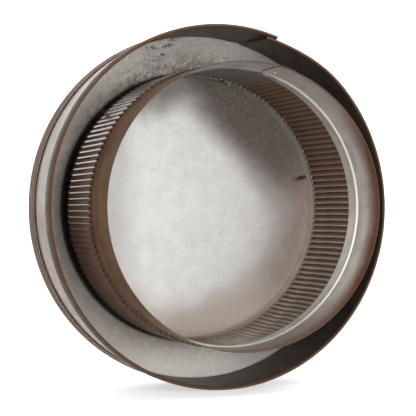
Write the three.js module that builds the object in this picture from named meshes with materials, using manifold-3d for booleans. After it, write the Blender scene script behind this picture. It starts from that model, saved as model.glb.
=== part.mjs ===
// Round louvred duct cap: a fixed ventilator for the end of a 14-inch round duct.
//
// It has three sheet-metal pieces and the blind rivets of their seams:
//   louvre_barrel  tail pipe, stop bead and louvred wall, rolled from one strip
//   wind_band      hemmed outer band that keeps wind and rain off the louvres
//   lid            dished cover whose turned-down flange is crimped on the wind band
//
// The duct axis runs along Y with the open tail pipe towards -Y, and the cap stands on its two
// rims at z = 0. "Depth" is measured along the axis from the tail pipe's open end. Angles are
// in degrees round the axis, from +X towards +Z.

import * as THREE from 'three';
import { mergeVertices } from 'three/addons/utils/BufferGeometryUtils.js';
import Module from 'manifold-3d';

// ---- Driving dimensions, in millimetres and degrees ----

const SHEET = 1.0; // sheet thickness
const GAP = 0.3; // clearance between pieces and between the layers of a lap
const FACETS = 72; // flats round every rolled piece
const CLOSEST_CORNERS = 0.4; // degrees; facet corners nearer than this to a strip's end are left out

const DUCT_RADIUS = 177.8; // outside of the tail pipe, for a 14-inch duct
const RIM_RADIUS = 233.8; // outside of the two rims that the cap stands on

const BEAD_DEPTH = 54; // middle of the stop bead
const BEAD_WIDTH = 9;
const BEAD_HEIGHT = 2.2; // how far the bead stands inwards
const BEAD_STEPS = 4;
const LOUVRE_START = 75.6;
const LOUVRE_END = 183.5;
const BARREL_END = 205.5;

const LOUVRE_PITCH = 2.5; // degrees from one louvre to the next
const LOUVRE_LAND = 1.3; // uncut strip that carries each flap
const LOUVRE_FLAP = 6.3; // flap length from hinge to lip
const LOUVRE_TILT = 26; // degrees that a flap is bent outwards
const LOUVRE_SHEET = 0.6; // flap thickness, so that its ends sit inside the plain bands

// Each rolled strip starts at outerEnd, lifted clear of its other end, and stops at innerEnd
// one turn later.
const BARREL_LAP = { outerEnd: 69.3, innerEnd: 76.5, liftUntil: 77.2, flushFrom: 79.3 };
const BAND_LAP = { outerEnd: 71.7, innerEnd: 75.3, liftUntil: 76, flushFrom: 79 };

const BAND_START = 75.6;
const BAND_END = 171;
const HEM_WIDTH = 13;
const HEM_THICKNESS = 3.2; // both layers of the outward-folded hem

const FLANGE_EDGE = 149; // depth of the lid flange's free edge
const FLANGE_CRIMP = 0.9; // how much smaller the flange is at its free edge
const LID_CORNER_DEPTH = 177.8; // where the cone and the flange would meet if the corner were sharp
const LID_CORNER_ROUND = 6.5; // how far the rounding runs along the flange, and along the cone
const LID_CORNER_STEPS = 3;
const LID_SEAT_DEPTH = 206.3; // middle of the lid's sheet over the barrel's end
const LID_CROWN = 8; // rise of the lid's middle over the barrel's end
const LID_CROWN_STEPS = 4;

const STAKE_SLOT = { angles: [14, 134, 254], width: 3, length: 17 };

const RIVET = { headRadius: 3.2, headHeight: 1.3, shankRadius: 1.6, tailRadius: 2.4, tailLength: 2.4 };
const RIVET_SIDES = 12;
const CUTTER_LENGTH = 12; // radial length of the tools that cut the holes and slots
const BARREL_RIVETS = { angle: 73, depths: [40, 67, 194.5] };
const BAND_RIVETS = { angle: 73.5, depths: [96, 138] };

// ---- Sizes that follow from them ----

const BARREL_RADIUS = DUCT_RADIUS - SHEET / 2; // middle of the barrel's sheet
const BAND_RADIUS = RIM_RADIUS - HEM_THICKNESS + SHEET / 2; // middle of the band's sheet
const LAP_LIFT = SHEET + GAP; // outward step of a lap's outer layer
const HEM_LIFT = HEM_THICKNESS + GAP; // the same where the hem laps the hem
const TOTAL_DEPTH = LID_SEAT_DEPTH + LID_CROWN + SHEET / 2;
const FACET_ANGLE = 360 / FACETS;
const FACET_GROWTH = 1 / Math.cos(Math.PI / FACETS); // puts the flats on the true circle

const wasm = await Module();
wasm.setup();

// ---- Helpers ----

const radians = THREE.MathUtils.degToRad;
const at = (radius, depth) => new THREE.Vector2(radius, depth);

// Closed outline of a sheet whose middle follows an open path of (radius, depth) points.
function sheetSection(path, thickness = SHEET) {
  const normals = path.map((point, i) => {
    const before = point.clone().sub(path[Math.max(i - 1, 0)]);
    const after = path[Math.min(i + 1, path.length - 1)].clone().sub(point);
    const first = before.lengthSq() > 0 ? before.normalize() : after.clone().normalize();
    const second = after.lengthSq() > 0 ? after.normalize() : first;
    const along = first.clone().add(second).normalize();
    const mitre = 1 / along.dot(first);
    return new THREE.Vector2(along.y, -along.x).multiplyScalar(mitre * thickness / 2);
  });
  const outer = path.map((point, i) => point.clone().add(normals[i]));
  const inner = path.map((point, i) => point.clone().sub(normals[i]));
  return [...outer, ...inner.reverse()];
}

// Angles of the facet corners between two angles, with the two angles and any extra ones.
function stationsBetween(from, to, extra = []) {
  const fixed = [from, to, ...extra];
  const stations = [...fixed];
  const first = Math.ceil((from - FACET_ANGLE / 2) / FACET_ANGLE) * FACET_ANGLE + FACET_ANGLE / 2;
  for (let angle = first; angle < to; angle += FACET_ANGLE) {
    if (fixed.every((other) => Math.abs(other - angle) > CLOSEST_CORNERS)) stations.push(angle);
  }
  return stations.sort((a, b) => a - b);
}

// Solid made by rolling a section round the axis. lift(angle, depth) moves it outwards.
function rolledStrip(section, stations, lift = () => 0) {
  const positions = [];
  for (const angle of stations) {
    for (const point of section) {
      const radius = (point.x + lift(angle, point.y)) * FACET_GROWTH;
      positions.push(radius * Math.cos(radians(angle)), point.y, radius * Math.sin(radians(angle)));
    }
  }
  const size = section.length;
  const index = [];
  for (let k = 0; k + 1 < stations.length; k += 1) {
    for (let i = 0; i < size; i += 1) {
      const a = k * size + i;
      const b = k * size + ((i + 1) % size);
      index.push(a, b, b + size, a, b + size, a + size);
    }
  }
  const last = (stations.length - 1) * size;
  for (const [a, b, c] of THREE.ShapeUtils.triangulateShape(section, [])) {
    index.push(c, b, a, last + a, last + b, last + c);
  }
  const geometry = new THREE.BufferGeometry();
  geometry.setAttribute('position', new THREE.Float32BufferAttribute(positions, 3));
  geometry.setIndex(index);
  return geometry;
}

// Same geometry with shared corners and without the empty triangles at a lathe's axis.
function welded(geometry) {
  const bare = new THREE.BufferGeometry();
  bare.setAttribute('position', geometry.getAttribute('position'));
  bare.setIndex(geometry.getIndex());
  const merged = mergeVertices(bare, 1e-4);
  const corners = Array.from(merged.getIndex().array);
  const index = [];
  for (let i = 0; i < corners.length; i += 3) {
    const [a, b, c] = corners.slice(i, i + 3);
    if (a !== b && b !== c && c !== a) index.push(a, b, c);
  }
  merged.setIndex(index);
  return merged;
}

function toSolid(geometry) {
  const clean = welded(geometry);
  const vertProperties = new Float32Array(clean.getAttribute('position').array);
  const triVerts = new Uint32Array(clean.getIndex().array);
  return new wasm.Manifold(new wasm.Mesh({ numProp: 3, vertProperties, triVerts }));
}

function toGeometry(solid) {
  const { vertProperties, triVerts } = solid.getMesh();
  const geometry = new THREE.BufferGeometry();
  geometry.setAttribute('position', new THREE.BufferAttribute(vertProperties, 3));
  geometry.setIndex(new THREE.BufferAttribute(triVerts, 1));
  geometry.computeVertexNormals();
  return geometry;
}

// Outward step of a lap's outer layer: full at its end, then easing to flush.
function lapStep(lap, angle) {
  const eased = (lap.flushFrom - angle) / (lap.flushFrom - lap.liftUntil);
  return THREE.MathUtils.clamp(eased, 0, 1);
}

// Round hole through the wall at an angle and depth, for a rivet's shank.
function rivetHole(angle, depth, radius) {
  const size = RIVET.shankRadius + GAP;
  const hole = new THREE.CylinderGeometry(size, size, CUTTER_LENGTH, RIVET_SIDES);
  hole.rotateZ(-Math.PI / 2);
  hole.translate(radius, depth, 0);
  hole.rotateY(-radians(angle));
  return toSolid(hole);
}

// ---- Louvre barrel ----

function barrelLift(angle) {
  return LAP_LIFT * lapStep(BARREL_LAP, angle);
}

function barrelRing(path) {
  const { outerEnd, innerEnd, liftUntil, flushFrom } = BARREL_LAP;
  const stations = stationsBetween(outerEnd, innerEnd + 360, [liftUntil, flushFrom]);
  return toSolid(rolledStrip(sheetSection(path), stations, barrelLift));
}

function tailPipeRing() {
  const path = [at(BARREL_RADIUS, 0)];
  for (let t = -1; t <= 1; t += 2 / BEAD_STEPS) {
    const rise = BEAD_HEIGHT * Math.cos((Math.PI / 2) * t) ** 2;
    path.push(at(BARREL_RADIUS - rise, BEAD_DEPTH + (BEAD_WIDTH / 2) * t));
  }
  path.push(at(BARREL_RADIUS, LOUVRE_START + SHEET));
  return barrelRing(path);
}

function farRing() {
  return barrelRing([at(BARREL_RADIUS, LOUVRE_END - SHEET), at(BARREL_RADIUS, BARREL_END)]);
}

// One louvre at angle 0: a land in the wall and a flap bent outwards from its edge.
function louvre() {
  const tilt = radians(LOUVRE_TILT);
  const lip = at(BARREL_RADIUS + LOUVRE_FLAP * Math.sin(tilt), LOUVRE_LAND + LOUVRE_FLAP * Math.cos(tilt));
  const path = [at(BARREL_RADIUS, 0), at(BARREL_RADIUS, LOUVRE_LAND), lip];
  const geometry = new THREE.ExtrudeGeometry(new THREE.Shape(sheetSection(path, LOUVRE_SHEET)), {
    depth: LOUVRE_END - LOUVRE_START,
    bevelEnabled: false,
  });
  geometry.rotateX(Math.PI / 2);
  geometry.translate(0, LOUVRE_END, 0);
  return toSolid(geometry);
}

// The louvres along the whole strip. Those of the lap's two layers nest in each other.
function louvres() {
  const blank = louvre();
  const end = BARREL_LAP.innerEnd + 360 - LOUVRE_PITCH / 2;
  const row = [];
  for (let angle = BARREL_LAP.outerEnd; angle < end; angle += LOUVRE_PITCH) {
    row.push(blank.translate([barrelLift(angle), 0, 0]).rotate([0, -angle, 0]));
  }
  return row;
}

function stakeSlot(angle) {
  const { width, length } = STAKE_SLOT;
  const slot = new THREE.BoxGeometry(CUTTER_LENGTH, length, width);
  slot.translate(BARREL_RADIUS, BARREL_END - length / 2 + GAP, 0);
  slot.rotateY(-radians(angle));
  return toSolid(slot);
}

function louvreBarrel() {
  const holes = BARREL_RIVETS.depths.map((depth) => rivetHole(BARREL_RIVETS.angle, depth, BARREL_RADIUS));
  const cuts = wasm.Manifold.union([...STAKE_SLOT.angles.map(stakeSlot), ...holes]);
  return toGeometry(wasm.Manifold.union([tailPipeRing(), farRing(), ...louvres()]).subtract(cuts));
}

// ---- Wind band ----

// The lap stands clear of the hem at the open edge and closes up towards the lid.
function bandLift(angle, depth) {
  const along = THREE.MathUtils.clamp((depth - BAND_START) / (FLANGE_EDGE - BAND_START), 0, 1);
  return THREE.MathUtils.lerp(HEM_LIFT, LAP_LIFT, along) * lapStep(BAND_LAP, angle);
}

function bandPath(end) {
  const hemRadius = RIM_RADIUS - SHEET / 2;
  const fold = (hemRadius - BAND_RADIUS) / 2;
  return [
    at(hemRadius, BAND_START + HEM_WIDTH),
    at(hemRadius, BAND_START + SHEET / 2 + fold / 2),
    at(hemRadius - fold, BAND_START + SHEET / 2),
    at(BAND_RADIUS, BAND_START + SHEET / 2 + fold / 2),
    at(BAND_RADIUS, end),
  ];
}

function windBand() {
  const { outerEnd, innerEnd, liftUntil, flushFrom } = BAND_LAP;
  const body = rolledStrip(
    sheetSection(bandPath(BAND_END)),
    stationsBetween(flushFrom, innerEnd + 360),
  );
  const lap = rolledStrip(
    sheetSection(bandPath(FLANGE_EDGE - 2 * SHEET)),
    stationsBetween(outerEnd, flushFrom, [liftUntil]),
    bandLift,
  );
  const holes = BAND_RIVETS.depths.map((depth) => rivetHole(BAND_RIVETS.angle, depth, BAND_RADIUS));
  return toGeometry(toSolid(body).add(toSolid(lap)).subtract(wasm.Manifold.union(holes)));
}

// ---- Lid ----

function lid() {
  const seat = at(DUCT_RADIUS + LAP_LIFT + SHEET / 2, LID_SEAT_DEPTH);
  const corner = at(RIM_RADIUS - SHEET / 2, LID_CORNER_DEPTH);
  const edge = at(corner.x - FLANGE_CRIMP, FLANGE_EDGE);
  const path = [];
  for (let step = 0; step <= LID_CROWN_STEPS; step += 1) {
    const share = step / LID_CROWN_STEPS;
    path.push(at(seat.x * share, seat.y + LID_CROWN * (1 - share ** 2)));
  }
  const onCone = corner.clone().lerp(seat, LID_CORNER_ROUND / corner.distanceTo(seat));
  const onFlange = corner.clone().lerp(edge, LID_CORNER_ROUND / corner.distanceTo(edge));
  path.push(...new THREE.QuadraticBezierCurve(onCone, corner, onFlange).getPoints(LID_CORNER_STEPS), edge);
  const section = sheetSection(path);
  section[0].x = 0;
  section[section.length - 1].x = 0;
  for (const point of section) point.x *= FACET_GROWTH;
  return welded(new THREE.LatheGeometry(section, FACETS, Math.PI / FACETS));
}

// ---- Rivets ----

// Blind rivet along +X, with x = 0 in the middle of the lap that it holds.
function rivet(lapThickness) {
  const { headRadius, headHeight, shankRadius, tailRadius, tailLength } = RIVET;
  const half = lapThickness / 2 + GAP;
  const profile = [
    at(0, -half - tailLength),
    at(tailRadius * 0.7, -half - tailLength),
    at(tailRadius, -half - tailLength / 2),
    at(tailRadius, -half),
    at(shankRadius, -half),
    at(shankRadius, half),
    at(headRadius, half),
    at(headRadius * 0.75, half + headHeight * 0.75),
    at(0, half + headHeight),
  ];
  const geometry = new THREE.LatheGeometry(profile, RIVET_SIDES);
  geometry.rotateZ(-Math.PI / 2);
  return welded(geometry);
}

// ---- Assembly ----

const brown = { color: 0x5e4a3e, roughness: 0.5, metalness: 0.3 };
const zinc = { color: 0xa9a6a2, roughness: 0.45, metalness: 0.9 };

function piece(name, geometry, finish) {
  geometry.computeVertexNormals();
  const mesh = new THREE.Mesh(geometry, new THREE.MeshStandardMaterial(finish));
  mesh.name = name;
  return mesh;
}

// Rivets through a lap, each facing outwards from the middle of the two layers.
function seamRivets(name, { angle, depths }, radius, lift) {
  return depths.map((depth, i) => {
    const step = lift(angle, depth);
    const mesh = piece(`${name}_${i + 1}`, rivet(step + SHEET), zinc);
    const middle = (radius + step / 2) * FACET_GROWTH;
    mesh.position.set(middle * Math.cos(radians(angle)), depth, middle * Math.sin(radians(angle)));
    mesh.rotation.y = -radians(angle);
    return mesh;
  });
}

const cap = new THREE.Group();
cap.name = 'louvred_duct_cap';
cap.position.set(0, -TOTAL_DEPTH / 2, RIM_RADIUS);
cap.add(
  piece('louvre_barrel', louvreBarrel(), brown),
  piece('wind_band', windBand(), brown),
  piece('lid', lid(), brown),
  ...seamRivets('barrel_seam_rivet', BARREL_RIVETS, BARREL_RADIUS, barrelLift),
  ...seamRivets('band_seam_rivet', BAND_RIVETS, BAND_RADIUS, bandLift),
);

export default cap;
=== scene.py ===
"""Looks of a round louvred duct cap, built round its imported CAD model.

The duct axis runs along Y. Places on the cap are given as a radius from that axis, an angle in
degrees round it (from +X towards +Z), and a depth along it from the tail pipe's open end. Sizes
are in millimetres until a mesh is made.
"""

import functools
import math

import bpy
import numpy as np
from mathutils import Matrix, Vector


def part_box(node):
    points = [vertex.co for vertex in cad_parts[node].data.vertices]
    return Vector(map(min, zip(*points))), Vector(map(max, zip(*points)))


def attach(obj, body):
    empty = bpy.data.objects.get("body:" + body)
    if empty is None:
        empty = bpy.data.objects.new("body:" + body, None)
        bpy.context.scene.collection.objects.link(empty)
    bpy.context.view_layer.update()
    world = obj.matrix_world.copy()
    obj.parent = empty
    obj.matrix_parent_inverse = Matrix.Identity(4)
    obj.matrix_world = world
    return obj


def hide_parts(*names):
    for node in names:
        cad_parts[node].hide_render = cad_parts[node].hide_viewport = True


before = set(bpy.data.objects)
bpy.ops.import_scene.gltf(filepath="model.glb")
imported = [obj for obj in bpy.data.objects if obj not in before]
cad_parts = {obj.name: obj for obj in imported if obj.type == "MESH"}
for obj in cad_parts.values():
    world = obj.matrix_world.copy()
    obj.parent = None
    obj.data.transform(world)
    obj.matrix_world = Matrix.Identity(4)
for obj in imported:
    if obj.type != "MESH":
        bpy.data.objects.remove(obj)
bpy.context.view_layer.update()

# ---- The frame's own places ----

MM = 0.001
MOUTH_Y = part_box("louvre_barrel")[0].y  # the tail pipe's open end
AXIS_Z = sum(corner.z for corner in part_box("lid")) / 2
RIM_RADIUS = AXIS_Z / MM - 0.1  # the rims stand on z = 0

# ---- Driving dimensions ----

SHEET = 0.7
EDGE_ROUND = 0.12
PIPE_RADIUS = 177.4  # middle of the sheet, as all radii are
BEAD_DEPTH, BEAD_WIDTH, BEAD_HEIGHT = 56.5, 9.0, 3.0
LOUVRE_START, LOUVRE_END = 74.4, 183.5
BARREL_END = 205.6
LOUVRE_PITCH = 2.5
LOUVRE_LAND = 1.3
LOUVRE_FLAP = 6.3
LOUVRE_TILT = 27.0
TILT_SPREAD = 0.8  # how far a flap's tilt strays from the others, in degrees
FLAP_ROUND = 1.4  # how far from its hinge a flap's bend runs
FLAP_CURL, FLAP_MIDDLE = 0.08, 3.0  # share by which the tilt grows outwards from the flap's middle
LOUVRE_WEB = 5.6  # depth of the web that closes a louvre's near end, behind its opening
WEB_SINK = 0.2  # how far the web's foot lies under the barrel's surface
LAP_LIFT = 1.2  # how far a lap's outer layer stands off
# Angles of the strip's two ends, and of the place where its outer layer comes back
BARREL_LAP = {"outer_end": 69.3, "inner_end": 76.5, "lift_until": 77.2, "flush_from": 79.3}
SLOT_ANGLES = (14.0, 134.0, 254.0)
SLOT_WIDTH, SLOT_LENGTH = 3.0, 17.0

BAND_START, BAND_END = 75.9, 171.0
BAND_RADIUS = 229.4
HEM_WIDTH = 13.0
HEM_RADIUS = RIM_RADIUS - SHEET / 2  # at the hem's free edge
HEM_TAPER = 0.3  # how much smaller the hem is at its fold
HEM_DIP = 4.8  # how far the hem's inner end dips to lie under the other end
HEM_DIP_FROM = 45.0
BAND_LAP = {"outer_end": 71.7, "inner_end": 75.3, "lift_until": 75.9, "flush_from": 78.6}

FLANGE_EDGE = 149.5
FLANGE_EDGE_RADIUS = 231.4
LID_CORNER = (233.2, 177.4)
LID_CORNER_ROUND = 6.5
LID_SEAT = (179.3, 206.3)
LID_SEAT_ROUND = 3.0
LID_CROWN = 7.8

RIVET_SHANK, RIVET_TAIL, RIVET_HEAD = 1.6, 2.4, 3.2  # radii
RIVET_DOME = 1.4
RIVET_SHARE = 0.45  # a rivet's length as a share of its CAD box

COLLAR_OVAL = 2.0  # how much wider the tail pipe's open end is on each side than a circle
COLLAR_OVAL_DEPTHS = (10, 110)  # where the barrel comes back to a circle
BAND_OVAL = -2.3  # the same for the wind band's open edge, which is narrower

rng = np.random.default_rng(7)


# ---- Mesh helpers ----

def place(radius, angle, depth):
    """Points in metres, in the row frame, from radii, degrees and depths."""
    turn = np.radians(angle)
    x = radius * np.cos(turn) * MM
    y = MOUTH_Y + depth * MM
    z = AXIS_Z + radius * np.sin(turn) * MM
    return np.stack(np.broadcast_arrays(x, y, z), axis=-1)


def smooth_step(value, low, high):
    t = np.clip((value - low) / (high - low), 0, 1)
    return t * t * (3 - 2 * t)


def lap_step(lap, angle):
    """1 on a lap's outer layer, easing to 0 where the strip comes back to its own radius."""
    return 1 - smooth_step(angle, lap["lift_until"], lap["flush_from"])


def oval(angle, amount):
    """Change of radius of a ring that is wider by amount on each side, and no higher."""
    return amount * np.cos(np.radians(angle)) ** 2


def grid_faces(rows, columns, first=0, keep=None):
    """Quads of a grid of points, row by row, without the cells where keep is False."""
    faces = []
    for r in range(rows - 1):
        for c in range(columns - 1):
            if keep is None or keep(r, c):
                a = first + r * columns + c
                faces.append((a, a + columns, a + columns + 1, a + 1))
    return faces


def arc_bend(before, corner, after, size, steps=5):
    """Points that round a corner of an outline, from size before it to size after it."""
    before, corner, after = (np.array(p, float) for p in (before, corner, after))
    start = corner + (before - corner) * size / np.linalg.norm(before - corner)
    end = corner + (after - corner) * size / np.linalg.norm(after - corner)
    t = np.linspace(0, 1, steps + 1)[:, None]
    return (1 - t) ** 2 * start + 2 * t * (1 - t) * corner + t ** 2 * end


def make_object(name, points, faces, materials, node, thickness=SHEET):
    """A sheet-metal piece from its middle surface: outside, inside and edge have a material each."""
    mesh = bpy.data.meshes.new(name)
    mesh.from_pydata([tuple(p) for p in points], [], faces)
    mesh.validate()
    for material in materials:
        mesh.materials.append(material)
    mesh.shade_smooth()
    piece = bpy.data.objects.new(name, mesh)
    bpy.context.collection.objects.link(piece)
    if thickness:
        solid = piece.modifiers.new("sheet", "SOLIDIFY")
        solid.thickness = thickness * MM
        solid.offset = 0
        solid.use_even_offset = True
        solid.material_offset = 1
        solid.material_offset_rim = 2
        edges = piece.modifiers.new("edges", "BEVEL")
        edges.width = EDGE_ROUND * MM
        edges.segments = 2
        edges.limit_method = "ANGLE"
        edges.angle_limit = math.radians(50)
        edges.harden_normals = True
    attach(piece, "root")
    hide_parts(node)


# ---- Materials ----

class NodeTree:
    """Short calls for the nodes that the finishes and the white room share."""

    def __init__(self, owner, coordinates):
        owner.use_nodes = True
        self.nodes = owner.node_tree.nodes
        self.links = owner.node_tree.links
        self.place = self.nodes.new("ShaderNodeTexCoord").outputs[coordinates]

    def wire(self, value, socket):
        if isinstance(value, bpy.types.NodeSocket):
            self.links.new(value, socket)
        else:
            socket.default_value = value

    def node(self, kind, inputs, **settings):
        """First output of a new node."""
        made = self.nodes.new("ShaderNode" + kind)
        for key, value in settings.items():
            setattr(made, key, value)
        for key, value in inputs.items():
            self.wire(value, made.inputs[key])
        return made.outputs[0]

    def split(self, vector):
        """X, Y and Z of a vector."""
        return self.node("SeparateXYZ", {"Vector": vector}).node.outputs

    def math(self, operation, a, b=0.0, c=0.0, clamp=False):
        return self.node("Math", {0: a, 1: b, 2: c}, operation=operation, use_clamp=clamp)

    def product(self, *values):
        return functools.reduce(lambda a, b: self.math("MULTIPLY", a, b), values)

    def largest(self, *values):
        return functools.reduce(lambda a, b: self.math("MAXIMUM", a, b), values)

    def noise(self, scale, detail=3.0, roughness=0.55, stretch=None):
        place = self.place
        if stretch:
            place = self.node("Mapping", {"Vector": place, "Scale": stretch})
        return self.node("TexNoise", {"Vector": place, "Scale": scale, "Detail": detail,
                                      "Roughness": roughness})

    def span(self, value, low, high, start=0.0, end=1.0):
        """A smooth change from start to end while value goes from low to high."""
        return self.node("MapRange", {"Value": value, "From Min": low, "From Max": high,
                                      "To Min": start, "To Max": end},
                         interpolation_type="SMOOTHSTEP")

    def window(self, value, rise, fall, height=1.0):
        """Height while value lies between the two ranges, easing to 0 across each of them."""
        return self.product(self.span(value, *rise, 0, height), self.span(value, *fall, 1, 0))

    def near(self, value, centre, inner, outer, height=1.0):
        """Height within inner of centre, easing to 0 at outer."""
        distance = self.math("ABSOLUTE", self.math("SUBTRACT", value, centre))
        return self.span(distance, inner, outer, height, 0)

    def mix(self, share, a, b):
        return self.node("MixRGB", {"Fac": share, "Color1": a, "Color2": b})

    def bump(self, height, distance, strength=1.0, normal=None):
        inputs = {"Height": height, "Distance": distance, "Strength": strength}
        if normal is not None:
            inputs["Normal"] = normal
        return self.node("Bump", inputs)


class Finish(NodeTree):
    """A node material of the cap."""

    def __init__(self, name):
        self.material = bpy.data.materials.new(name)
        super().__init__(self.material, "Object")
        self.shader = self.nodes["Principled BSDF"]

    def cylinder(self):
        """Depth, radius and angle of the shaded point, in millimetres and degrees."""
        x, y, z = self.split(self.place)
        depth = self.math("MULTIPLY_ADD", y, 1 / MM, -MOUTH_Y / MM)
        x = self.math("MULTIPLY", x, 1 / MM)
        z = self.math("MULTIPLY_ADD", z, 1 / MM, -AXIS_Z / MM)
        square = self.math("MULTIPLY_ADD", x, x, self.math("MULTIPLY", z, z))
        angle = self.math("MULTIPLY", self.math("ARCTAN2", z, x), math.degrees(1))
        return depth, self.math("SQRT", square), angle

    def cosine(self, angle, side=0.0):
        """1 on the given side, -1 opposite it."""
        if side:
            angle = self.math("SUBTRACT", angle, side)
        return self.math("COSINE", self.math("RADIANS", angle))

    def sine(self, angle):
        """1 at the top, -1 at the bottom."""
        return self.math("SINE", self.math("RADIANS", angle))

    def louvre_phase(self, angle):
        """0 to 1 round the barrel from one louvre's land to the next."""
        turns = self.math("ADD", angle, 360 - BARREL_LAP["outer_end"])
        return self.math("FRACT", self.math("DIVIDE", turns, LOUVRE_PITCH))


def rgb(red, green, blue):
    """Linear colour from one given in 0 to 255 display values."""
    scaled = [v / 255 for v in (red, green, blue)]
    return (*[v / 12.92 if v <= 0.04045 else ((v + 0.055) / 1.055) ** 2.4 for v in scaled], 1.0)


BAND_DARK, BAND_BROWN = rgb(72, 56, 43), rgb(90, 71, 55)
BARREL_DARK, BARREL_BROWN = rgb(72, 50, 32), rgb(92, 67, 45)
LID_DARK, LID_BROWN = rgb(76, 60, 47), rgb(84, 67, 53)
HEM_DARK, HEM_BROWN = rgb(56, 42, 33), rgb(68, 52, 41)
BAND_INSIDE_DARK, BAND_INSIDE_LIGHT = rgb(94, 81, 71), rgb(113, 100, 90)
EDGE_DARK, EDGE_BROWN = rgb(58, 34, 20), rgb(96, 60, 38)
PAINT_WORN = rgb(96, 65, 45)
# Dark brown for painted shade in the bead's groove and along the flange's free edge; the mouth's edge
# is darkened with it too
SHADE_BROWN = rgb(46, 31, 21)
LOUVRE_BROWN = rgb(112, 81, 64)
# Dark brown for painted shade in the louvres' near-end recesses
RECESS_SHADE_BROWN = rgb(44, 28, 18)
# Near-black for painted shade in recesses, slots, gaps and corners, and for a painted dark reflection
DEEP_SHADE = rgb(28, 23, 20)

METAL_LIGHT, METAL_DARK = rgb(206, 204, 200), rgb(200, 197, 193)
PIPE_LIGHT, PIPE_DARK = rgb(176, 170, 163), rgb(156, 150, 143)
METAL_GRAIN = rgb(150, 142, 134)
# Light grey for painted highlights on the tail pipe's inside
HIGHLIGHT_GREY = rgb(212, 207, 200)
DULL_ZINC = rgb(250, 245, 237)

OVERSPRAY = rgb(98, 72, 54)
RIM_SPRAY = rgb(88, 46, 20)
# Light colour of the louvres' lands and cut edges: a painted highlight, partly worn paint
LAND_WEAR_AND_HIGHLIGHT = rgb(176, 154, 134)
# Grey bare metal darkened by painted shade, for the top of the tail pipe's inside
PIPE_TOP_SHADE_GREY = rgb(104, 101, 96)
PIPE_BOTTOM_BROWN = rgb(96, 82, 70)
# Brown dust with painted shade, reddish dust with a painted reflection of the barrel, and a paler tone,
# for the lid's disc
DUST_AND_SHADE_BROWN, REDDISH_DUST_AND_REFLECTION, PALE_TONE = rgb(80, 66, 54), rgb(132, 98, 74), rgb(204, 192, 178)
STAIN = rgb(146, 126, 108)
SPECK = rgb(60, 54, 48)

METAL_SHINE, PIPE_SHINE = 0.9, 0.4
DUST_AND_SHADE_SIDE = 44.0  # the side of the lid's disc with most dust and painted shade, in degrees
REDDISH_SIDE = -42.0  # the side where the dust and the painted reflection of the brown barrel are reddest
SPRAY_SIDE = -25.0  # the side of the tail pipe's mouth with most overspray


def paint(name, tint, rough, gloss, marks=None):
    """Brown powder coat with orange peel, and the marks that its piece has."""
    f = Finish(name)
    base = f.mix(f.span(f.noise(18, 4), 0.3, 0.7), *tint)
    base = f.mix(f.span(f.noise(900, 2), 0.55, 0.8, 0, 0.25), base, PAINT_WORN)
    if marks:
        base = marks(f, base)
    f.wire(base, f.shader.inputs["Base Color"])
    roughness = f.span(f.noise(60, 3), 0.25, 0.75, rough - 0.05, rough + 0.07)
    f.wire(roughness, f.shader.inputs["Roughness"])
    f.shader.inputs["IOR"].default_value = 1.5
    f.shader.inputs["Specular IOR Level"].default_value = gloss
    peel = f.bump(f.noise(420, 2), 0.00004)
    f.wire(f.bump(f.noise(26, 2), 0.0006, 0.5, peel), f.shader.inputs["Normal"])
    return f.material


def barrel_marks(f, base):
    """Darker mouth edge, redder louvres, painted shade in the groove, near ends and by the lid."""
    depth, _, angle = f.cylinder()
    # Painted shade in the bead's groove on the outside; the mouth's edge is also darkened
    groove_shade = f.near(depth, BEAD_DEPTH, 1.2, 3.6, 0.8)
    mouth_edge = f.span(depth, 1, 5, 0.5, 0)
    base = f.mix(f.largest(groove_shade, mouth_edge), base, SHADE_BROWN)
    base = f.mix(f.span(depth, LOUVRE_START - 1, LOUVRE_START + 3, 0, 0.85), base, LOUVRE_BROWN)
    # Painted shade in the recesses under the flaps at the louvres' near ends
    near_ends = f.window(depth, (LOUVRE_START - 0.6, LOUVRE_START - 0.2),
                         (LOUVRE_START + 4.5, LOUVRE_START + 8.5))
    under_flaps = f.window(f.louvre_phase(angle), (0.1, 0.3), (0.9, 1))
    base = f.mix(f.product(near_ends, under_flaps), base, DEEP_SHADE)
    # Painted shade on the barrel's far land, between the louvres and the lid's ring
    return f.mix(f.span(depth, LOUVRE_END - 3, LOUVRE_END + 2), base, DEEP_SHADE)


def flange_gap_shadow(f, base):
    """A painted shadow of the gap along the flange's free edge."""
    depth = f.cylinder()[0]
    # Painted shadow of the gap between the flange and the wind band
    return f.mix(f.span(depth, FLANGE_EDGE + 3.5, FLANGE_EDGE + 5, 0.95, 0), base, SHADE_BROWN)


def hem_marks(f, base):
    """Paint worn brown along the hem's fold."""
    ragged_depth = f.math("ADD", f.cylinder()[0], f.product(f.noise(120), 0.5))
    return f.mix(f.span(ragged_depth, BAND_START + 0.2, BAND_START + 1.0, 0.75, 0), base, PAINT_WORN)


def bare_metal(f, light, dark, rough, waviness=0.3, peel=0.00001):
    """Colour, roughness and normal of dull galvanised sheet: soft blotches, fine grain, faint rubs."""
    blotch = f.noise(45, 3, 0.5)
    grain = f.noise(480, 4, 0.75)
    rub = f.noise(9, 3, 0.5)
    base = f.mix(f.span(blotch, 0.3, 0.7), dark, light)
    base = f.mix(f.span(grain, 0.48, 0.72, 0, 0.42), base, METAL_GRAIN)
    roughness = f.math("ADD", f.span(blotch, 0.3, 0.7, rough, rough + 0.02),
                       f.span(rub, 0.3, 0.7, -0.01, 0.02))
    normal = f.bump(grain, peel) if peel else None
    normal = f.bump(f.noise(9, 2), 0.0008, waviness, normal)
    return base, roughness, normal


def finish_metal(f, base, roughness, normal, painted, shine):
    """Wires bare metal that turns into paint where painted goes to 1."""
    f.wire(base, f.shader.inputs["Base Color"])
    f.wire(f.math("MULTIPLY_ADD", painted, 0.25, roughness), f.shader.inputs["Roughness"])
    f.wire(normal, f.shader.inputs["Normal"])
    f.wire(f.product(f.math("SUBTRACT", 1.0, painted), shine), f.shader.inputs["Metallic"])
    return f.material


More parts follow.
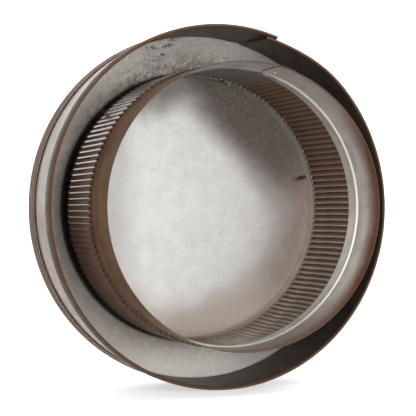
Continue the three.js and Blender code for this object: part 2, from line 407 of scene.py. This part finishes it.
def pipe_inside():
    """Barrel's inside: bare metal, overspray at the open rim, painted louvres and painted shade in
    slots.

    The metal is grey with painted shade at the top and browner at the bottom, with painted
    highlights on the bead's crest and at the far edge.
    """
    f = Finish("pipe_inside")
    depth, radius, angle = f.cylinder()
    base, roughness, normal = bare_metal(f, PIPE_LIGHT, PIPE_DARK, 0.36)

    wander = f.math("MULTIPLY_ADD", f.noise(30, 4), 16.0, -8.0)
    spray = f.span(f.math("ADD", depth, wander), 2, 40, 1, 0)
    spray = f.product(spray, f.span(f.cosine(angle, SPRAY_SIDE), 0.1, 0.7, 0.25, 1))
    rim = f.span(f.math("MULTIPLY_ADD", wander, 0.25, depth), 2, 6, 0.8, 0)
    webs = LOUVRE_START + LOUVRE_WEB
    louvres = f.window(depth, (webs - 1.2, webs), (LOUVRE_END - 1, LOUVRE_END + 5))
    painted = f.largest(spray, rim, louvres)
    speckle = f.math("MULTIPLY_ADD", f.noise(900, 3), 0.9, -0.45)
    painted = f.math("ADD", painted, f.product(speckle, painted), clamp=True)

    # Painted shade in the louvres' slots, darker where the flaps stand further out
    slot = f.span(radius, PIPE_RADIUS + 0.1, PIPE_RADIUS + 1.6, 0, 0.7)
    # Painted highlight on the louvres' lands, strongest on the lower right
    land = f.span(f.louvre_phase(angle), 0.13, 0.19, 1, 0)
    land_highlight = f.product(land, f.span(angle, -20, 40, 0.75, 0.1))
    louvre_paint = f.mix(slot, f.mix(land_highlight, OVERSPRAY, LAND_WEAR_AND_HIGHLIGHT), DEEP_SHADE)
    base = f.mix(painted, base, f.mix(f.span(depth, 40, 60), RIM_SPRAY, louvre_paint))

    # Grey with painted shade at the top behind the bead; the same mask dims the crest's painted
    # highlight
    top_shade = f.span(angle, 62, 76)
    behind_bead = f.span(depth, BEAD_DEPTH - 7, BEAD_DEPTH, 0, 0.8)
    base = f.mix(f.product(top_shade, behind_bead), base, PIPE_TOP_SHADE_GREY)
    bottom = f.span(f.sine(angle), -0.95, -0.55, 0.75, 0)
    base = f.mix(f.product(bottom, f.span(depth, 40, 70, 1, 0)), base, PIPE_BOTTOM_BROWN)

    # Painted highlights on the bead's crest, dimmed at the top, and along the far edge; both are also
    # shinier
    crest_highlight = f.product(f.near(depth, BEAD_DEPTH, 1.5, 4.2), f.math("MULTIPLY_ADD", top_shade, -0.9, 1.0))
    far_edge_highlight = f.span(depth, BARREL_END - 2.6, BARREL_END - 1.2, 0, 0.85)
    highlight = f.largest(crest_highlight, far_edge_highlight)
    base = f.mix(highlight, base, HIGHLIGHT_GREY)
    shine = f.math("MULTIPLY_ADD", highlight, 0.5, PIPE_SHINE)
    f.shader.inputs["Specular IOR Level"].default_value = 0.2
    return finish_metal(f, base, roughness, normal, painted, shine)


def lid_dust_and_shade(f, radius, angle, beyond):
    """Brown dust with painted shade and reflection on the disc, a paler bottom, and the brown's colour.
    """
    wander = f.math("MULTIPLY_ADD", f.noise(18, 4), 60.0, -30.0)
    reach = f.math("ADD", radius, wander)
    # Side where the dust and the painted reflection of the brown barrel are reddest
    reddish = f.span(f.cosine(angle, REDDISH_SIDE), 0.3, 0.95)
    upper = f.span(f.sine(angle), 0.5, 1)
    nearer = f.largest(f.product(reddish, 38.0), f.product(upper, 34.0))
    # Brown dust and a painted reflection of the barrel near the disc's edge
    edge_dust_and_reflection = f.span(f.math("ADD", nearer, reach), 150, 200, 0, 0.75)

    # Painted shade with some brown dust across the disc's upper right
    sideways = f.math("MULTIPLY_ADD", f.cosine(angle, DUST_AND_SHADE_SIDE), radius, f.product(wander, 0.5))
    side_dust_and_shade = f.product(f.span(sideways, 72, 132), f.span(angle, -40, 30, 0.3, 1))
    # Painted shade towards the disc's left edge
    left_edge_shade = f.span(f.product(f.cosine(angle), radius), -112, -62, 0.3, 0)
    dust_and_shade = f.product(f.largest(left_edge_shade, edge_dust_and_reflection, side_dust_and_shade), f.math("SUBTRACT", 1.0, beyond))
    dust_and_shade = f.product(dust_and_shade, f.span(f.noise(900, 2, 0.6), 0.3, 0.7, 0.72, 1))

    # Paler towards the bottom of the disc
    pale = f.product(f.span(f.sine(angle), -0.95, -0.5, 0.8, 0), f.span(reach, 110, 160))
    pale = f.product(pale, f.span(f.noise(700, 3, 0.7), 0.35, 0.65, 0.55, 1))
    return dust_and_shade, pale, f.mix(reddish, DUST_AND_SHADE_BROWN, REDDISH_DUST_AND_REFLECTION)


def lid_stain(f, radius, angle):
    """Brown mottling of the ring outside the barrel, strongest at its top and near the barrel."""
    upper = f.span(f.sine(angle), 0.5, 1)
    clouds = f.math("MULTIPLY_ADD", f.noise(190, 4, 0.8), 0.5, f.product(f.noise(55, 6, 0.75), 0.5))
    mottle = f.product(f.span(clouds, 0.42, 0.58, -0.45, 0.35), f.math("MULTIPLY_ADD", upper, 0.8, 0.2))
    stain = f.product(f.math("ADD", mottle, 0.62), f.span(radius, 183, 222, 1, 0.25))
    rings = f.node("TexNoise", {"W": f.product(radius, 0.3), "Detail": 3.0}, noise_dimensions="1D")
    grain = f.math("MULTIPLY_ADD", f.noise(600, 3, 0.7), 0.9, f.product(rings, 0.45))
    return f.math("ADD", stain, f.math("SUBTRACT", grain, 0.66), clamp=True)


def lid_shade(f, radius, angle):
    """Painted shade in the corner outside the barrel, and a painted reflection of each staking slot."""
    # Painted shade in the corner where the ring meets the barrel
    corner = f.product(f.window(radius, (177.1, 177.5), (181, 187), 0.97),
                       f.span(f.cosine(angle), -0.2, 0.4, 1, 0))
    # Painted reflection of each staking slot on the disc
    from_slot = f.math("PINGPONG", f.math("ADD", angle, 360 - SLOT_ANGLES[0]), 60.0)
    slot_reflection = f.product(f.span(from_slot, 0.5, 1.4, 0.9, 0), f.window(radius, (156, 172), (180, 182)))
    return f.largest(corner, slot_reflection)


def lid_inside():
    """Lid's inside: shiny middle, dust with painted shade and reflections by the barrel, dull and
    spotted beyond it.
    """
    f = Finish("lid_inside")
    _, radius, angle = f.cylinder()
    base, roughness, normal = bare_metal(f, METAL_LIGHT, METAL_DARK, 0.25, 0.12, peel=None)
    beyond = f.span(radius, 177, 184)
    brown_dust_and_shade, pale_bottom, dust_and_shade_tint = lid_dust_and_shade(f, radius, angle, beyond)
    # Painted shade in the corner by the barrel and painted reflections of the slots
    painted_darkening = lid_shade(f, radius, angle)
    scratches = f.span(f.noise(90, 6, 0.85, stretch=(0.7, 1.0, 1.8)), 0.545, 0.585, 0, 0.88)
    specks = f.product(scratches, f.window(angle, (92, 97), (106, 112)), f.span(radius, 202, 208))
    # Painted shade on the right of the ring outside the barrel
    right_shade = f.product(f.span(f.cosine(angle), 0.1, 0.6, 0, 0.7), f.span(radius, 196, 206))

    base = f.mix(pale_bottom, f.mix(brown_dust_and_shade, base, dust_and_shade_tint), PALE_TONE)
    base = f.mix(beyond, base, DULL_ZINC)
    base = f.mix(f.product(lid_stain(f, radius, angle), beyond), base, STAIN)
    base = f.mix(right_shade, base, DUST_AND_SHADE_BROWN)
    base = f.mix(specks, base, SPECK)
    base = f.mix(painted_darkening, base, DEEP_SHADE)
    painted = f.largest(f.product(f.largest(brown_dust_and_shade, pale_bottom), 0.85), specks, painted_darkening)
    roughness = f.math("MULTIPLY_ADD", beyond, 0.24, roughness)
    shine = f.math("MULTIPLY_ADD", beyond, -0.88, METAL_SHINE)
    f.shader.inputs["Specular IOR Level"].default_value = 0.15
    return finish_metal(f, base, roughness, normal, painted, shine)


def band_inside():
    """Wind band's inside: paler brown paint, with painted shade on the right."""
    f = Finish("band_inside")
    # Painted shade on the right side
    right = f.span(f.cosine(f.cylinder()[2]), 0.0, 0.65, 0.0, 0.95)
    painted_darkening = f.product(f.span(f.noise(24, 4), 0.2, 0.7, 0.8, 1), right)
    paint_colour = f.mix(f.noise(300, 3), BAND_INSIDE_DARK, BAND_INSIDE_LIGHT)
    f.wire(f.mix(painted_darkening, paint_colour, DEEP_SHADE), f.shader.inputs["Base Color"])
    f.wire(f.span(f.noise(60, 3), 0.25, 0.75, 0.45, 0.6), f.shader.inputs["Roughness"])
    f.wire(f.bump(f.noise(420, 2), 0.00004), f.shader.inputs["Normal"])
    return f.material


def louvre_end_shade():
    """Painted shade over dark brown in the small recess at each louvre's near end."""
    f = Finish("louvre_end_shade")
    f.wire(f.mix(f.noise(500, 3), DEEP_SHADE, RECESS_SHADE_BROWN), f.shader.inputs["Base Color"])
    f.wire(f.span(f.noise(300, 2), 0.3, 0.7, 0.6, 0.75), f.shader.inputs["Roughness"])
    return f.material


def cut_edge():
    """Cut edge of the sheet: thin brown paint, wear and painted highlight along the louvres, painted
    shade by the lid.
    """
    f = Finish("cut_edge")
    thin = f.noise(300, 3)
    depth = f.cylinder()[0]
    base = f.mix(f.span(thin, 0.35, 0.7), EDGE_DARK, EDGE_BROWN)
    # Painted shade on the barrel's far edge by the lid and on the flange's free edge
    base = f.mix(f.span(depth, LOUVRE_END + 4, LOUVRE_END + 8), base, DEEP_SHADE)
    base = f.mix(f.near(depth, FLANGE_EDGE, 2, 4, 0.9), base, DEEP_SHADE)
    # Painted highlight, with some wear, on the cut edges along the louvres
    louvres = f.window(depth, (LOUVRE_START + 4, LOUVRE_START + 10), (LOUVRE_END, LOUVRE_END + 2))
    f.wire(f.mix(louvres, base, LAND_WEAR_AND_HIGHLIGHT), f.shader.inputs["Base Color"])
    f.wire(f.span(thin, 0.3, 0.7, 0.35, 0.5), f.shader.inputs["Roughness"])
    f.shader.inputs["Metallic"].default_value = 0.2
    return f.material


def rivet_metal():
    """Dull bare metal."""
    f = Finish("rivet_metal")
    base, roughness, normal = bare_metal(f, METAL_LIGHT, METAL_DARK, 0.3)
    f.wire(base, f.shader.inputs["Base Color"])
    f.wire(roughness, f.shader.inputs["Roughness"])
    f.wire(normal, f.shader.inputs["Normal"])
    f.shader.inputs["Metallic"].default_value = METAL_SHINE
    return f.material


BARREL_PAINT = paint("powder_coat", (BARREL_DARK, BARREL_BROWN), 0.36, 0.16, barrel_marks)
BAND_PAINT = paint("band_powder_coat", (BAND_DARK, BAND_BROWN), 0.26, 0.5)
HEM_PAINT = paint("hem_powder_coat", (HEM_DARK, HEM_BROWN), 0.5, 0.12, hem_marks)
LID_PAINT = paint("lid_powder_coat", (LID_DARK, LID_BROWN), 0.52, 0.08, flange_gap_shadow)
BAND_INSIDE = band_inside()
LOUVRE_END_SHADE = louvre_end_shade()
CUT_EDGE = cut_edge()
PIPE_INSIDE = pipe_inside()
LID_INSIDE = lid_inside()
RIVET = rivet_metal()


# ---- Louvre barrel ----

def barrel_radius(angle, depth):
    """Radius of the barrel's strip: the lap's step, and the tail pipe's mouth out of round."""
    ovalness = oval(angle, COLLAR_OVAL) * (1 - smooth_step(depth, *COLLAR_OVAL_DEPTHS))
    return PIPE_RADIUS + LAP_LIFT * lap_step(BARREL_LAP, angle) + ovalness


def barrel_columns():
    """Angles of the strip's grid lines: each louvre's land and hinge, and the slots' edges."""
    start, end = BARREL_LAP["outer_end"], BARREL_LAP["inner_end"] + 360
    land = math.degrees(LOUVRE_LAND / PIPE_RADIUS)
    half_slot = math.degrees(SLOT_WIDTH / 2 / PIPE_RADIUS)
    columns = {end}
    for k in range(int((end - start) / LOUVRE_PITCH)):
        base = start + k * LOUVRE_PITCH
        columns |= {base, base + land, base + (LOUVRE_PITCH + land) / 2}
    for slot in SLOT_ANGLES:
        centre = slot if slot > start else slot + 360
        columns |= {centre - half_slot, centre + half_slot}
    return np.array(sorted(columns)), land


def louvre_barrel():
    """Tail pipe, bead and louvres as one strip, and the small floors and webs behind the louvres."""
    columns, land = barrel_columns()
    louvres = [columns[0] + k * LOUVRE_PITCH
               for k in range(int((columns[-1] - columns[0]) / LOUVRE_PITCH))]
    bead = [(BEAD_DEPTH + BEAD_WIDTH / 2 * u, -BEAD_HEIGHT * math.cos(math.pi / 2 * u) ** 2)
            for u in np.linspace(-1, 1, 13)]
    near = [(0, 0), (1.5, 0), (16, 0), (32, 0), *bead, (67, 0), (LOUVRE_START, 0)]
    slot_depth = BARREL_END - SLOT_LENGTH
    far = [(LOUVRE_END, 0), (slot_depth, 0), (197, 0), (BARREL_END, 0)]
    points, faces = [], []

    def ring(rings, keep=None):
        """Adds a part of the strip that goes all the way round, from depths and rises."""
        first = len(points)
        for depth, rise in rings:
            points.extend(place(barrel_radius(columns, depth) + rise, columns, depth))
        faces.extend(grid_faces(len(rings), len(columns), first, keep))
        return first

    def in_slot(c):
        middle = (columns[c] + columns[c + 1]) / 2
        gaps = [abs((middle - slot + 180) % 360 - 180) for slot in SLOT_ANGLES]
        return min(gaps) < math.degrees(SLOT_WIDTH / 2 / PIPE_RADIUS)

    def under_flap(r, c):
        land_share = LOUVRE_LAND / (math.radians(LOUVRE_PITCH) * PIPE_RADIUS)
        return ((columns[c] + columns[c + 1]) / 2 - columns[0]) / LOUVRE_PITCH % 1 > land_share

    near_first = ring(near)
    far_first = ring(far, lambda r, c: not (far[r][0] >= slot_depth and in_slot(c)))
    near_edge = near_first + (len(near) - 1) * len(columns)
    index = {round(a, 4): i for i, a in enumerate(columns)}
    depths = np.linspace(LOUVRE_START, LOUVRE_END, 7)
    for base in louvres:
        corners = [index[round(base, 4)], index[round(base + land, 4)]]
        add_louvre(points, faces, (base, base + land), depths,
                   [near_edge + c for c in corners], [far_first + c for c in corners])
    make_object("louvre_barrel_shell", points, faces, [BARREL_PAINT, PIPE_INSIDE, CUT_EDGE],
                "louvre_barrel")
    points, faces = [], []
    ring([(LOUVRE_START, 0), (LOUVRE_START + LOUVRE_WEB, 0)], under_flap)
    for base in louvres:
        add_web(points, faces, base + land)
    make_object("louvre_ends_shell", points, faces,
                [LOUVRE_END_SHADE, PIPE_INSIDE, LOUVRE_END_SHADE], "louvre_barrel")


def add_louvre(points, faces, land, depths, near_corners, far_corners):
    """One land between the two rings, and the flap bent outwards from its edge."""
    reach = np.array([0, 0.35, 0.75, FLAP_ROUND, 3.2, 5.0, LOUVRE_FLAP])
    tilt = math.radians(LOUVRE_TILT + rng.uniform(-TILT_SPREAD, TILT_SPREAD))
    curl = 1 + FLAP_CURL * (reach - FLAP_MIDDLE) / FLAP_MIDDLE
    turned = tilt * np.clip(reach / FLAP_ROUND, 0, 1) * curl
    steps = np.diff(reach, prepend=0)
    hinge = land[1]
    lines = []
    for number, depth in enumerate(depths):
        if number == 0:
            row = list(near_corners)
        elif number == len(depths) - 1:
            row = list(far_corners)
        else:
            row = [len(points), len(points) + 1]
            points.extend(place(barrel_radius(angle, depth), angle, depth) for angle in land)
        radius = barrel_radius(hinge, depth)
        x = radius + np.cumsum(steps * np.sin(turned))[1:]
        y = np.cumsum(steps * np.cos(turned))[1:]
        for px, py in zip(x, y):
            row.append(len(points))
            angle = hinge + math.degrees(math.atan2(py, px))
            points.append(place(math.hypot(px, py), angle, depth))
        lines.append(row)
    for near_row, far_row in zip(lines, lines[1:]):
        for c in range(len(near_row) - 1):
            faces.append((near_row[c], far_row[c], far_row[c + 1], near_row[c + 1]))


def add_web(points, faces, hinge):
    """The little wall under a flap that closes the louvre towards the tail pipe."""
    depth, tilt = LOUVRE_START + LOUVRE_WEB, math.radians(LOUVRE_TILT)
    foot = barrel_radius(hinge, depth) - WEB_SINK
    opening = math.radians(LOUVRE_PITCH) * PIPE_RADIUS - LOUVRE_LAND
    flat_until, under_flap, least_height = 0.7, 0.25, 0.05
    outline = [(step * math.cos(tilt), max(step - flat_until, 0) * math.sin(tilt) - under_flap)
               for step in np.linspace(0.6, LOUVRE_FLAP, 5)]
    outline.append((opening, 0.0))
    first = len(points)
    for across, rise in outline:
        angle = hinge + math.degrees(across / foot)
        points.append(place(foot + max(rise + WEB_SINK, least_height), angle, depth))
        points.append(place(foot, angle, depth))
    for c in range(len(outline) - 1):
        a = first + 2 * c
        faces.append((a, a + 1, a + 3, a + 2))


# ---- Wind band ----

def wind_band():
    """The rolled strip with its lap, as two meshes that meet at the hem's fold."""
    lap = BAND_LAP
    angles = np.concatenate([np.arange(lap["outer_end"], lap["flush_from"], 0.3),
                             np.arange(lap["flush_from"], lap["inner_end"] + 360, 1.0),
                             [lap["inner_end"] + 360]])
    bend = (HEM_RADIUS - HEM_TAPER - BAND_RADIUS) / 2
    first_depth = BAND_START + SHEET / 2
    fold = [(BAND_RADIUS + bend * (1 + math.cos(a)), first_depth + bend * (1 - math.sin(a)))
            for a in np.linspace(0, math.pi, 9)]
    hem = [(HEM_RADIUS, BAND_START + HEM_WIDTH),
           (HEM_RADIUS - HEM_TAPER / 2, BAND_START + HEM_WIDTH / 2), *fold]
    wall = [fold[-1], *[(BAND_RADIUS, depth) for depth in (BAND_START + 7, 96, 122, 146, BAND_END)]]

    def strip(name, path, outside, inside):
        points = []
        for radius, depth in path:
            along = smooth_step(depth, BAND_START + HEM_WIDTH, FLANGE_EDGE)
            dipped = smooth_step(angles, HEM_DIP_FROM + 360, lap["outer_end"] + 360)
            lift = LAP_LIFT * along * lap_step(lap, angles) - HEM_DIP * (1 - along) * dipped
            ovalness = oval(angles, BAND_OVAL) * (1 - smooth_step(depth, BAND_START, FLANGE_EDGE))
            points.extend(place(radius + lift + ovalness, angles, depth))

        def keep(r, c):
            """Leaves out the lap's outer layer under the lid's flange, where only one layer fits."""
            return path[r + 1][1] <= FLANGE_EDGE or angles[c] >= lap["inner_end"] - 0.01

        faces = grid_faces(len(path), len(angles), 0, keep)
        make_object(name, points, faces, [outside, inside, outside], "wind_band")

    strip("wind_band_hem", hem, HEM_PAINT, HEM_PAINT)
    strip("wind_band_wall", wall, BAND_PAINT, BAND_INSIDE)


# ---- Lid ----

def lid():
    """Crowned disc, the ring outside the barrel and the turned-down flange."""
    seat, corner = LID_SEAT, LID_CORNER
    edge = (FLANGE_EDGE_RADIUS, FLANGE_EDGE)

    def crowned(radius):
        return radius, seat[1] + LID_CROWN * (1 - (radius / seat[0]) ** 2)

    inner = crowned(seat[0] - 20)
    path = [crowned(radius) for radius in np.linspace(2, inner[0], 22)]
    path += [*arc_bend(inner, seat, corner, LID_SEAT_ROUND)]
    path += [*arc_bend(seat, corner, edge, LID_CORNER_ROUND)]
    path += [((corner[0] + edge[0]) / 2, (corner[1] + edge[1]) / 2), edge]
    count = 360
    angles = np.linspace(0, 360, count, endpoint=False)
    points = [place(0.0, 0.0, seat[1] + LID_CROWN)]
    for radius, depth in path:
        points.extend(place(np.full(count, radius), angles, np.full(count, depth)))
    faces = [(0, 1 + (c + 1) % count, 1 + c) for c in range(count)]
    for r in range(len(path) - 1):
        a = 1 + r * count
        faces += [(a + c, a + (c + 1) % count, a + count + (c + 1) % count, a + count + c)
                  for c in range(count)]
    make_object("lid_shell", points, faces, [LID_PAINT, LID_INSIDE, CUT_EDGE],
                "lid")


# ---- Rivets ----

def rivet(name):
    """Dome head, shank and crimped tail in the place of a CAD rivet."""
    low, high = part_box(name)
    centre = (low + high) / 2
    out = Vector((centre.x, 0, centre.z - AXIS_Z)).normalized()
    side = Vector((0, 1, 0))
    up = out.cross(side)
    length = (high - low).dot(Vector((abs(out.x), 0, abs(out.z)))) * RIVET_SHARE
    half = length / 2 / MM
    head = half - 1.5  # where the head's flat underside starts
    profile = [(RIVET_TAIL - 0.5, -half), (RIVET_TAIL, -half + 0.5), (RIVET_TAIL, -half + 1.6),
               (RIVET_SHANK, -half + 2.0), (RIVET_SHANK, head), (RIVET_HEAD - 0.2, head)]
    profile += [(RIVET_HEAD * math.cos(a), half - RIVET_DOME + RIVET_DOME * math.sin(a))
                for a in np.linspace(0, 1.45, 7)]
    sides = 32
    points, faces = [], []
    for radius, height in profile:
        for k in range(sides):
            a = 2 * math.pi * k / sides
            spoke = side * math.cos(a) + up * math.sin(a)
            points.append(centre + (out * height + spoke * radius) * MM)
    for r in range(len(profile) - 1):
        for k in range(sides):
            a, b = r * sides + k, r * sides + (k + 1) % sides
            faces.append((a, b, b + sides, a + sides))
    last = (len(profile) - 1) * sides
    faces += [tuple(reversed(range(sides))), tuple(range(last, last + sides))]
    make_object(name + "_metal", points, faces, [RIVET], name, thickness=0)


louvre_barrel()
wind_band()
lid()
for node in sorted(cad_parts):
    if "rivet" in node:
        rivet(node)


# ---- Floor, light and camera ----

FLOOR_SIZE, FLOOR_GLOW = 28.0, 0.52
FLOOR_DARK, FLOOR_LIGHT = (0.56, 0.56, 0.56, 1), (0.58, 0.58, 0.58, 1)
ROOM_COLOUR = (0.985, 1, 1.02, 1)
ROOM_LIGHT, FRONT_LIGHT, LEFT_LIGHT, RIGHT_LIGHT, BACK_LIGHT = 0.6, 0.55, 3.2, 5.5, 1.2
KEY_PLACE, KEY_SIZE, KEY_POWER = (1.3, -1.2, 2.2), (0.8, 0.8), 30
CAMERA_AZIMUTH, CAMERA_ELEVATION, CAMERA_DISTANCE = -21.11, -0.109, 1.628
CAMERA_TARGET = (0.0042, MOUTH_Y + 0.150, AXIS_Z - 0.0013)
CAMERA_LENS, CAMERA_SENSOR = 105.8, 36


def floor():
    """A large white floor with a faint glow of its own."""
    half = FLOOR_SIZE / 2
    corners = [(-half, -half, 0), (half, -half, 0), (half, half, 0), (-half, half, 0)]
    mesh = bpy.data.meshes.new("floor")
    mesh.from_pydata(corners, [], [(0, 1, 2, 3)])
    f = Finish("floor_white")
    f.wire(f.mix(f.noise(3), FLOOR_DARK, FLOOR_LIGHT), f.shader.inputs["Base Color"])
    f.shader.inputs["Roughness"].default_value = 0.7
    f.shader.inputs["Emission Color"].default_value = (1, 1, 1, 1)
    f.shader.inputs["Emission Strength"].default_value = FLOOR_GLOW
    mesh.materials.append(f.material)
    plane = bpy.data.objects.new("floor", mesh)
    bpy.context.collection.objects.link(plane)


def aim(name, data, location, direction):
    """A lamp or camera that looks in a direction."""
    made = bpy.data.objects.new(name, data)
    made.location = location
    made.rotation_mode = "QUATERNION"
    made.rotation_quaternion = direction.to_track_quat("-Z", "Y")
    bpy.context.collection.objects.link(made)
    return made


def softbox():
    """The one lamp: high on the right, in front of the cap."""
    data = bpy.data.lights.new("key", "AREA")
    data.shape = "RECTANGLE"
    data.size, data.size_y = KEY_SIZE
    data.energy = KEY_POWER
    aim("key", data, KEY_PLACE, Vector((0, 0, AXIS_Z)) - Vector(KEY_PLACE))


def white_room():
    """A soft white room, brighter in front of the cap on both sides, and behind it."""
    world = bpy.data.worlds.new("white_room")
    room = NodeTree(world, "Generated")
    x, y, z = room.split(room.place)
    level = room.span(room.math("ABSOLUTE", z), 0.1, 0.5, 1, 0)
    facing = room.span(y, -0.6, -0.2, 1, 0)
    front = room.product(facing, level)
    left = room.product(facing, room.span(x, -0.45, -0.12, 1, 0))
    right = room.product(front, room.span(x, 0.5, 0.62))
    back = room.span(y, 0.0, 0.5)
    strength = ROOM_LIGHT
    for share, light in ((front, FRONT_LIGHT), (left, LEFT_LIGHT), (right, RIGHT_LIGHT),
                         (back, BACK_LIGHT)):
        strength = room.math("MULTIPLY_ADD", share, light, strength)
    room.wire(strength, room.nodes["Background"].inputs["Strength"])
    room.nodes["Background"].inputs["Color"].default_value = ROOM_COLOUR
    bpy.context.scene.world = world


def camera():
    """The photo's view."""
    azimuth, elevation = math.radians(CAMERA_AZIMUTH), math.radians(CAMERA_ELEVATION)
    back = Vector((math.sin(azimuth) * math.cos(elevation), -math.cos(azimuth) * math.cos(elevation),
                   math.sin(elevation)))
    data = bpy.data.cameras.new("camera")
    data.lens = CAMERA_LENS
    data.sensor_width = CAMERA_SENSOR
    location = Vector(CAMERA_TARGET) + back * CAMERA_DISTANCE
    bpy.context.scene.camera = aim("camera", data, location, -back)


floor()
white_room()
softbox()
camera()
bpy.context.scene.view_settings.view_transform = "Standard"
